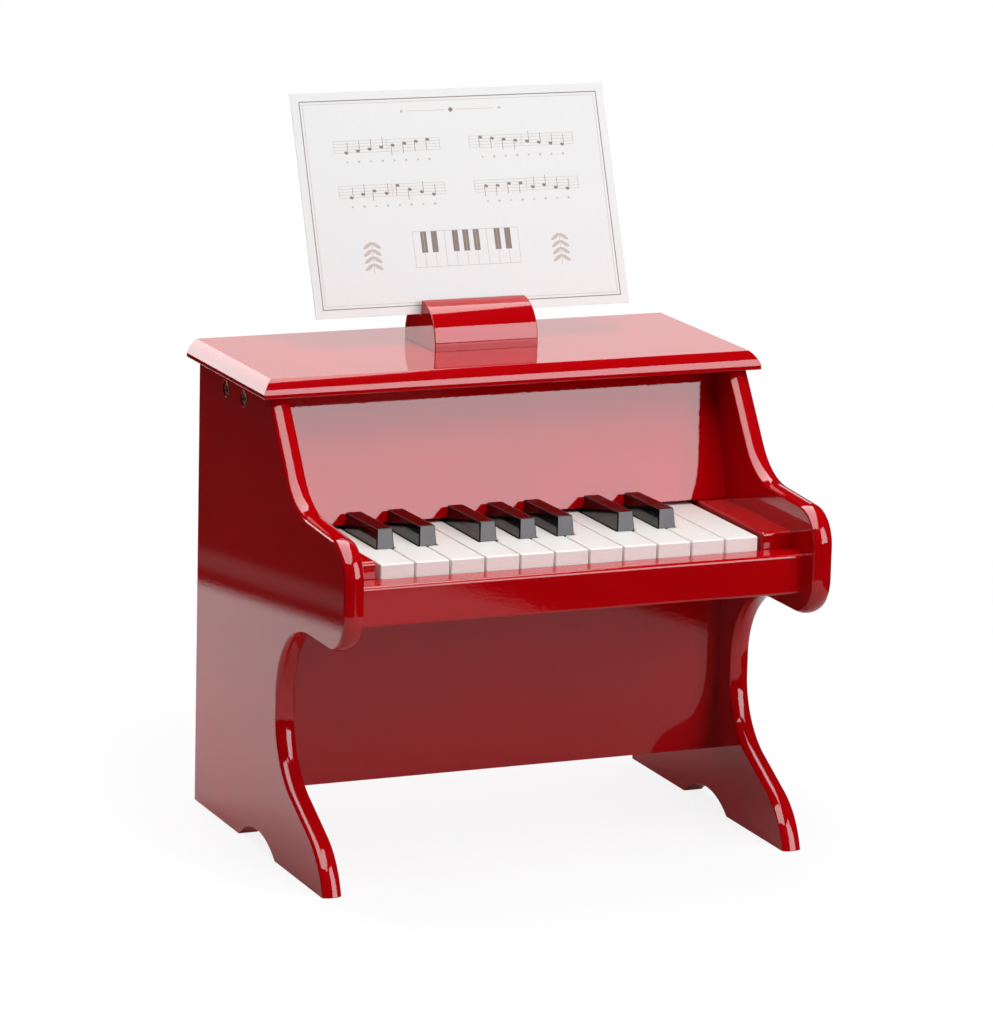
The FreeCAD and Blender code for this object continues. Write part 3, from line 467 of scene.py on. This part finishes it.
def cardPlace(sunk):
    # the printed face: across, up the card and out of it, from the lower left corner of the card
    low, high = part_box("music_card")
    slide = next(joint for joint in frame["joints"] if joint["name"] == "card_lift")["axis"]
    up = Vector(slide).normalized()
    out = Vector((1, 0, 0)).cross(up)
    deep, tall = high[1] - low[1], high[2] - low[2]
    spread = up.z ** 2 - up.y ** 2
    length = (tall * up.z - deep * up.y) / spread
    thickness = (deep * up.z - tall * up.y) / spread
    corner = Vector((low[0], low[1], low[2] + thickness * up.y)) - out * sunk
    turned = Matrix((Vector((1, 0, 0)), up, out)).transposed().to_4x4()
    return Matrix.Translation(corner) @ turned, high[0] - low[0], length


printing = {
    "sunk": 0.01 * mm,         # the ink goes a little into the card
    "ink": 0.04 * mm,
    "frameInset": 5.0 * mm, "frameLine": 0.55 * mm,
    "hairInset": 6.8 * mm, "hairLine": 0.28 * mm,
    "columns": (0.285, 0.715), "rows": (0.755, 0.555),   # middles of the staves, as shares of the card
    "staveWidth": 66 * mm, "staveLines": 5, "lineGap": 1.75 * mm, "staveLine": 0.22 * mm,
    "barLines": (-0.5, 0, 0.5),   # along a stave, as shares of its width
    "noteWidth": 2.5 * mm, "noteHeight": 1.75 * mm, "noteTurn": 0.35,
    "stem": 6.0 * mm, "stemLine": 0.32 * mm,
    "tunes": ((0, 1, 2, 3, 4, 5, 6, 7), (7, 6, 5, 4, 3, 2, 1, 0),   # a scale up and down, then broken chords
              (0, 2, 4, 2, 7, 4, 2, 0), (4, 4, 5, 5, 2, 3, 1, 0)),
    "middleStep": 4,           # the note on a stave's middle line
    "markDrop": 5.5 * mm, "mark": 1.9 * mm,
    "keysMiddle": (0.5, 0.285), "keys": 10, "keyWidth": 6.6 * mm, "keyHeight": 21 * mm,
    "blackAfter": (1, 2, 4, 5, 6, 8, 9), "blackWidth": 3.7 * mm, "blackHeight": 12.5 * mm,
    "sprigs": (0.2, 0.8), "sprigFoot": 0.185,
    "leaf": (6.5 * mm, 2.2 * mm), "leaves": 4, "leafGap": 4.2 * mm, "leafOut": 0.42, "leafTurn": 0.6,
    "ornamentHeight": 0.905, "ornamentLine": 24 * mm, "diamond": 3.4 * mm,
}


def addFrame(inset, line, width, height):
    for y in (inset, height - inset):
        addBar(width / 2, y, width - 2 * inset + line, line)
    for x in (inset, width - inset):
        addBar(x, height / 2, line, height - 2 * inset - line)


def printCard(sizes):
    place, width, height = cardPlace(sizes["sunk"])
    staves = [(width * column, height * row) for row in sizes["rows"] for column in sizes["columns"]]
    gap, half, middle = sizes["lineGap"], sizes["staveLines"] // 2, sizes["middleStep"]
    notes = len(sizes["tunes"][0])
    keysX, keysY = width * sizes["keysMiddle"][0], height * sizes["keysMiddle"][1]
    keysWide = sizes["keys"] * sizes["keyWidth"]
    keysLeft, keysTop = keysX - keysWide / 2, keysY + sizes["keyHeight"] / 2
    ornamentY = height * sizes["ornamentHeight"]

    startPiece("cardInkBlack")
    addFrame(sizes["frameInset"], sizes["frameLine"], width, height)
    for (x, y), tune in zip(staves, sizes["tunes"]):
        for count, pitch in enumerate(tune):
            noteX = x + sizes["staveWidth"] * ((count + 1) / (len(tune) + 1) - 0.5)
            noteY = y + gap * (pitch - middle) / 2
            addDisc(noteX, noteY, sizes["noteWidth"], sizes["noteHeight"], sizes["noteTurn"])
            side = 1 if pitch < middle else -1   # low notes have their stems up
            addBar(noteX + side * (sizes["noteWidth"] - sizes["stemLine"]) / 2,
                   noteY + side * sizes["stem"] / 2, sizes["stemLine"], sizes["stem"])
    for after in sizes["blackAfter"]:
        addBar(keysLeft + after * sizes["keyWidth"], keysTop - sizes["blackHeight"] / 2,
               sizes["blackWidth"], sizes["blackHeight"])
    addDisc(width / 2, ornamentY, sizes["diamond"], sizes["diamond"], corners=4)
    blackPrint = endPiece(sizes["ink"])

    startPiece("cardInkGrey")
    addFrame(sizes["hairInset"], sizes["hairLine"], width, height)
    for x, y in staves:
        for line in range(-half, half + 1):
            addBar(x, y + line * gap, sizes["staveWidth"], sizes["staveLine"])
        for share in sizes["barLines"]:
            addBar(x + share * sizes["staveWidth"], y, sizes["hairLine"], 2 * half * gap)
        for count in range(notes):   # a triangle or a square under each note
            markX = x + sizes["staveWidth"] * ((count + 1) / (notes + 1) - 0.5)
            addDisc(markX, y - half * gap - sizes["markDrop"], sizes["mark"], sizes["mark"],
                    corners=3 + count % 2)
    for count in range(sizes["keys"] + 1):
        addBar(keysLeft + count * sizes["keyWidth"], keysY, sizes["hairLine"], sizes["keyHeight"])
    for side in (-0.5, 0.5):
        addBar(keysX, keysY + side * sizes["keyHeight"], keysWide + sizes["hairLine"], sizes["hairLine"])
    leafLong, leafWide = sizes["leaf"]
    for share in sizes["sprigs"]:
        foot = height * sizes["sprigFoot"]
        stalk = (sizes["leaves"] + 0.5) * sizes["leafGap"]
        addBar(width * share, foot + stalk / 2, sizes["stemLine"], stalk)
        for count in range(sizes["leaves"]):
            for side in (-1, 1):
                addDisc(width * share + side * sizes["leafOut"] * leafLong,
                        foot + (count + 1) * sizes["leafGap"], leafLong, leafWide, side * sizes["leafTurn"])
    for side in (-1, 1):
        addBar(width / 2 + side * (sizes["diamond"] + sizes["ornamentLine"] / 2), ornamentY,
               sizes["ornamentLine"], sizes["hairLine"])
        addDisc(width / 2 + side * (2 * sizes["diamond"] + sizes["ornamentLine"]), ornamentY,
                sizes["diamond"] / 2, sizes["diamond"] / 2)
    greyPrint = endPiece(sizes["ink"])

    for piece, ink in ((blackPrint, blackInk), (greyPrint, greyInk)):
        piece.data.materials.append(ink)
        piece.matrix_world = place
        applyPlace(piece)
        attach(piece, "music_card")


printCard(printing)
print("card printed")


# Screws: pan heads with a cross recess, dark bronzed ones sunk in the sides
# and zinc plated ones on the back board

screwMaking = {
    "corners": 48, "roundSteps": 6,
    "tip": 0.3,                # the shank tapers to this share of its radius
    "smoothAngle": 35,         # degrees
    "hair": 0.01 * mm,         # points this near the head's top belong to it
}
sideScrew = {
    "headRadius": 4.3 * mm, "headHeight": 2.0 * mm, "headRound": 1.1 * mm, "shankRadius": 1.9 * mm,
    "shankLength": 24 * mm, "recess": (5.0 * mm, 1.15 * mm, 1.4 * mm),   # long, wide and deep
    "turn": 0.3, "turnStep": 0.5,   # the first recess's turn, and how much more each next one has
}
backScrew = {
    "headRadius": 3.0 * mm, "headHeight": 1.6 * mm, "headRound": 0.9 * mm, "shankRadius": 1.4 * mm,
    "shankLength": 10 * mm, "recess": (3.4 * mm, 0.85 * mm, 1.1 * mm),
    "turn": 0.2, "turnStep": 0.7,
    "faceDepth": 0.05 * mm,    # points this near the outermost belong to a head's outer face
    "spacing": 3,              # in head radii: points further apart belong to two heads
}


def makeScrew(name, sizes, making, finish):
    # the head's seat lies on the origin and the screw looks up, its shank below
    bpy.ops.object.select_all(action="DESELECT")
    bpy.ops.mesh.primitive_cylinder_add(
        vertices=making["corners"], radius=sizes["headRadius"], depth=sizes["headHeight"],
        location=(0, 0, sizes["headHeight"] / 2))
    screw = bpy.context.object
    screw.name = screw.data.name = name
    applyPlace(screw)
    bpy.ops.object.mode_set(mode="EDIT")
    bpy.ops.mesh.select_mode(type="EDGE")
    bpy.ops.mesh.select_all(action="DESELECT")
    bpy.ops.object.mode_set(mode="OBJECT")
    top = sizes["headHeight"] - making["hair"]
    for edge in screw.data.edges:
        edge.select = all(screw.data.vertices[index].co.z > top for index in edge.vertices)
    bpy.ops.object.mode_set(mode="EDIT")
    bpy.ops.mesh.bevel(offset=sizes["headRound"], segments=making["roundSteps"], affect="EDGES")
    bpy.ops.mesh.select_mode(type="FACE")
    bpy.ops.mesh.select_all(action="DESELECT")
    bpy.ops.object.mode_set(mode="OBJECT")
    for face in screw.data.polygons:
        face.select = face.normal.z < -0.9   # the seat, which looks down
    bpy.ops.object.mode_set(mode="EDIT")
    bpy.ops.mesh.inset(thickness=sizes["headRadius"] - sizes["shankRadius"])
    bpy.ops.mesh.extrude_region_move(TRANSFORM_OT_translate={"value": (0, 0, -sizes["shankLength"])})
    bpy.ops.transform.resize(value=(making["tip"], making["tip"], 1),
                             center_override=(0, 0, -sizes["shankLength"]))
    bpy.ops.object.mode_set(mode="OBJECT")
    long, wide, deep = sizes["recess"]
    for turn in (0, math.pi / 2):
        bpy.ops.mesh.primitive_cube_add(size=1, location=(0, 0, sizes["headHeight"]), rotation=(0, 0, turn))
        blade = bpy.context.object
        blade.scale = (long, wide, 2 * deep)
        cutting = screw.modifiers.new("recess", "BOOLEAN")
        cutting.object = blade
        bpy.context.view_layer.objects.active = screw
        bpy.ops.object.modifier_apply(modifier=cutting.name)
        bpy.data.objects.remove(blade)
    bpy.ops.object.select_all(action="DESELECT")
    screw.select_set(True)
    bpy.ops.object.shade_smooth_by_angle(angle=math.radians(making["smoothAngle"]))
    screw.data.materials.clear()
    screw.data.materials.append(finish)
    return screw


def setScrews(first, places, node):
    # places: the seat of each head, the way it looks and the turn of its recess
    copies = [first]
    for _ in places[1:]:
        screw = first.copy()
        screw.data = first.data.copy()
        bpy.context.scene.collection.objects.link(screw)
        copies.append(screw)
    for count, (screw, (seat, looks, turn)) in enumerate(zip(copies, places), 1):
        screw.name = f"{node}_{count}"
        upToLooks = Vector((0, 0, 1)).rotation_difference(Vector(looks)).to_matrix().to_4x4()
        screw.matrix_world = Matrix.Translation(seat) @ upToLooks @ Matrix.Rotation(turn, 4, "Z")
        applyPlace(screw)
        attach(screw, "case")
        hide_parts(node)


def sideScrewPlaces(sizes):
    low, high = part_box("side_screws")
    z = (low[2] + high[2]) / 2
    radius = (high[2] - low[2]) / 2
    places = []
    for side, x in ((-1, low[0]), (1, high[0])):
        for count, y in enumerate((low[1] + radius, high[1] - radius)):
            turn = sizes["turn"] + sizes["turnStep"] * count
            places.append(((x - side * sizes["headHeight"], y, z), (side, 0, 0), turn))
    return places


def backScrewPlaces(sizes):
    # the screws' own places in the frame: the middles of the heads' outer faces
    mesh = nodes["back_panel_screws"].data
    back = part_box("back_panel_screws")[1][1]
    outer = [vertex.co.copy() for vertex in mesh.vertices if vertex.co.y > back - sizes["faceDepth"]]
    apart = sizes["spacing"] * sizes["headRadius"]
    groups = []
    for point in outer:
        near = [group for group in groups if (group[0] - point).length < apart]
        if near:
            near[0].append(point)
        else:
            groups.append([point])
    places = []
    for count, group in enumerate(groups):
        middle = sum(group, Vector()) / len(group)
        turn = sizes["turn"] + sizes["turnStep"] * count
        places.append(((middle.x, back - sizes["headHeight"], middle.z), (0, 1, 0), turn))
    return places


setScrews(makeScrew("sideScrew", sideScrew, screwMaking, bronze), sideScrewPlaces(sideScrew),
          "side_screws")
setScrews(makeScrew("backScrew", backScrew, screwMaking, zinc), backScrewPlaces(backScrew),
          "back_panel_screws")
print("screws set")


# Camera at the photograph's viewpoint

viewpoint = {
    "place": (-1.1501, -2.6244, 0.8475),
    "azimuth": 23.52,          # degrees to the right of straight ahead
    "elevation": 12.95,        # degrees downwards
    "roll": 1.46,
    "focalPixels": 5135.8,
    "imageHeight": 1024,
    "sensor": 36.0,
}


def addCamera(sizes):
    azimuth, elevation = math.radians(sizes["azimuth"]), math.radians(sizes["elevation"])
    ahead = Vector((math.sin(azimuth) * math.cos(elevation), math.cos(azimuth) * math.cos(elevation),
                    -math.sin(elevation)))
    level = Vector((math.cos(azimuth), -math.sin(azimuth), 0))
    upright = level.cross(ahead)
    roll = math.radians(sizes["roll"])
    right = level * math.cos(roll) + upright * math.sin(roll)
    up = upright * math.cos(roll) - level * math.sin(roll)
    lens = bpy.data.cameras.new("camera")
    lens.sensor_width = sizes["sensor"]
    lens.lens = sizes["focalPixels"] / sizes["imageHeight"] * sizes["sensor"]
    camera = bpy.data.objects.new("camera", lens)
    turned = Matrix((right, up, -ahead)).transposed().to_4x4()
    camera.matrix_world = Matrix.Translation(sizes["place"]) @ turned
    bpy.context.scene.collection.objects.link(camera)
    bpy.context.scene.camera = camera


addCamera(viewpoint)
print("camera placed")


# Studio: a dark room with large soft boxes and a white table top, turned a little from the piano

# Each box has a level that lights the piano and one that is mirrored in its gloss
softBoxes = {
    "rightBox": {"place": (0.74, -1.22, 0.81), "across": (0.84, 0.55, 0), "facing": (-0.55, 0.84, 0),
                 "size": (0.86, 1.22), "lights": 3.8, "mirrored": 5.9, "tint": "#FDF9FE"},
    "topBox": {"place": (-0.1, 0.03, 1.6), "across": (0.956, -0.294, 0), "facing": (0, 0, -1),
               "size": (1.2, 3.0), "lights": 2.3, "mirrored": 5.2, "tint": "#FFFFFF"},
    "keyBox": {"place": (0.1, -0.75, 1.65), "across": (1, 0, 0), "facing": (-0.05, 0.42, -0.9),
               "size": (1.0, 0.8), "lights": 3.4, "tint": "#FFFFFF"},
    "backBox": {"place": (-0.37, 1.5, 0.76), "across": (-1, 0, 0), "facing": (0, -1, 0),
                "size": (1.17, 0.92), "lights": 4.0, "mirrored": 4.5, "tint": "#FFFFFF"},
    "backWall": {"place": (0.74, 1.7, 0.68), "across": (-1, 0, 0), "facing": (0, -1, 0),
                 "size": (0.95, 0.4), "lights": 2.4, "mirrored": 1.2, "tint": "#FFFFFF"},
}
boxLayer = 10 * mm             # a mirrored box stands this much nearer, or the lighting one would hide it
surround = {
    "background": 1.0,         # what the camera sees
    "room": 0.016,             # what the gloss mirrors
    "ambient": 0.05,           # what falls on everything
}
tableTop = {
    "size": 12.0,
    "white": 0.97,
    "dark": 0.02,              # the room's floor beyond the table
    "across": (0.956, -0.294, 0),
    "edges": (-0.499, 0.42),   # the table's two long edges, as lengths along its width
    "along": (0.294, 0.956, 0),
    "ends": (-0.70, 3.0),      # its front and back edges, as lengths along its depth
    "paintedLightToward": (-0.588, 0.809, 0),
    "paintedLightSpan": (0.0, 0.2),      # painted light: the table's colour grows brighter between these lengths towards the light
    # painted shade: the table's colour away from the light, under and in front of the piano
    "paintedShadeTone": 0.5,
    "streak": (-0.562, -0.527),   # a pale skirting beside the left edge
    "streakTone": 0.12,
    "soft": 0.008,             # half the width of each edge's fade
    "glow": 0.84,              # share of plain white in what the camera sees near the piano
    "shadowReach": (0.35, 0.9),   # the shadow fades out between these distances
}


def addSoftBox(name, sizes, use):
    # use is what the box does for the piano: lights it, or is mirrored in its gloss, a little nearer
    width, height = sizes["size"]
    nearer = boxLayer if use == "mirrored" else 0.0
    lamp = bpy.data.lights.new(f"{name}_{use}", "AREA")
    lamp.shape = "RECTANGLE"
    lamp.size, lamp.size_y = width, height
    lamp.energy = sizes[use] * math.pi * width * height
    lamp.color = linear(sizes["tint"])[:3]
    box = bpy.data.objects.new(lamp.name, lamp)
    across, back = Vector(sizes["across"]).normalized(), -Vector(sizes["facing"]).normalized()
    turned = Matrix((across, back.cross(across), back)).transposed().to_4x4()
    box.matrix_world = Matrix.Translation(Vector(sizes["place"]) - back * nearer) @ turned
    box.visible_camera = False
    box.visible_diffuse = use == "lights"
    box.visible_glossy = use == "mirrored"
    bpy.context.scene.collection.objects.link(box)


def addSurround(sizes):
    world = bpy.data.worlds.new("whiteBackground")
    bpy.context.scene.world = world
    world.use_nodes = True
    tree = world.node_tree
    tree.nodes.clear()
    path = addNode(tree, "ShaderNodeLightPath")
    unseen = addNode(tree, "ShaderNodeMapRange", {}, {
        "Value": path.outputs["Is Glossy Ray"], "To Min": sizes["ambient"], "To Max": sizes["room"]})
    strength = addNode(tree, "ShaderNodeMapRange", {}, {
        "Value": path.outputs["Is Camera Ray"], "To Min": unseen.outputs["Result"],
        "To Max": sizes["background"]})
    glow = addNode(tree, "ShaderNodeBackground", {}, {
        "Color": linear("#FFFFFF"), "Strength": strength.outputs["Result"]})
    addNode(tree, "ShaderNodeOutputWorld", links={"Surface": glow.outputs[0]})


def addTableTop(sizes):
    bpy.ops.object.select_all(action="DESELECT")
    bpy.ops.mesh.primitive_plane_add(size=sizes["size"])
    table = bpy.context.object
    table.name = "tableTop"
    material, tree, place = newMaterial("whiteTableTop")
    path = addNode(tree, "ShaderNodeLightPath")
    width, depth, paintedLightNearness = (
        addNode(tree, "ShaderNodeVectorMath", {"operation": "DOT_PRODUCT"}, {0: place, 1: sizes[way]})
        for way in ("across", "along", "paintedLightToward"))

    def within(length, low, high, inside, outside):
        # inside between two lengths, outside beyond them, with soft edges
        soft = sizes["soft"]
        rise = addNode(tree, "ShaderNodeMapRange", {}, {
            "Value": length.outputs["Value"], "From Min": low - soft, "From Max": low + soft})
        fall = addNode(tree, "ShaderNodeMapRange", {}, {
            "Value": length.outputs["Value"], "From Min": high + soft, "From Max": high - soft})
        both = addNode(tree, "ShaderNodeMath", {"operation": "MULTIPLY"}, {
            0: rise.outputs["Result"], 1: fall.outputs["Result"]})
        toned = addNode(tree, "ShaderNodeMapRange", {}, {
            "Value": both.outputs["Value"], "To Min": outside, "To Max": inside})
        return toned.outputs["Result"]

    top = within(width, *sizes["edges"], sizes["white"], sizes["dark"])
    streak = within(width, *sizes["streak"], sizes["streakTone"], 0.0)
    dimmest, brightest = sizes["paintedLightSpan"]
    # painted shade and light: what the gloss and the bounce see of the table dims away from the back box and
    # under and in front of the piano, where the piano's shadow and the falloff of light lie
    fade = addNode(tree, "ShaderNodeMapRange", {}, {
        "Value": paintedLightNearness.outputs["Value"], "From Min": dimmest, "From Max": brightest,
        "To Min": sizes["paintedShadeTone"], "To Max": 1.0})
    reach = within(depth, *sizes["ends"], fade.outputs["Result"], sizes["dark"])
    faded = addNode(tree, "ShaderNodeMath", {"operation": "MULTIPLY"}, {0: top, 1: reach})
    tone = addNode(tree, "ShaderNodeMath", {"operation": "MAXIMUM"}, {0: faded.outputs["Value"], 1: streak})
    seen = addNode(tree, "ShaderNodeMapRange", {}, {
        "Value": path.outputs["Is Camera Ray"], "To Min": tone.outputs["Value"], "To Max": sizes["white"]})
    matt = addNode(tree, "ShaderNodeBsdfDiffuse", {}, {"Color": seen.outputs["Result"]})
    distance = addNode(tree, "ShaderNodeVectorMath", {"operation": "LENGTH"}, {0: place})
    near, far = sizes["shadowReach"]
    whiter = addNode(tree, "ShaderNodeMapRange", {"interpolation_type": "SMOOTHSTEP"}, {
        "Value": distance.outputs["Value"], "From Min": near, "From Max": far,
        "To Min": sizes["glow"], "To Max": 1.0})
    share = addNode(tree, "ShaderNodeMath", {"operation": "MULTIPLY"}, {
        0: path.outputs["Is Camera Ray"], 1: whiter.outputs["Result"]})
    glow = addNode(tree, "ShaderNodeEmission", {}, {"Strength": 1.0})
    shown = addNode(tree, "ShaderNodeMixShader", {}, {
        "Fac": share.outputs["Value"], 1: matt.outputs[0], 2: glow.outputs[0]})
    finishMaterial(tree, shown)
    table.data.materials.append(material)


for name, sizes in softBoxes.items():
    for use in ("lights", "mirrored"):
        if use in sizes:
            addSoftBox(name, sizes, use)
addSurround(surround)
addTableTop(tableTop)
bpy.context.scene.view_settings.view_transform = "Standard"
print("studio:", len(softBoxes), "soft boxes")
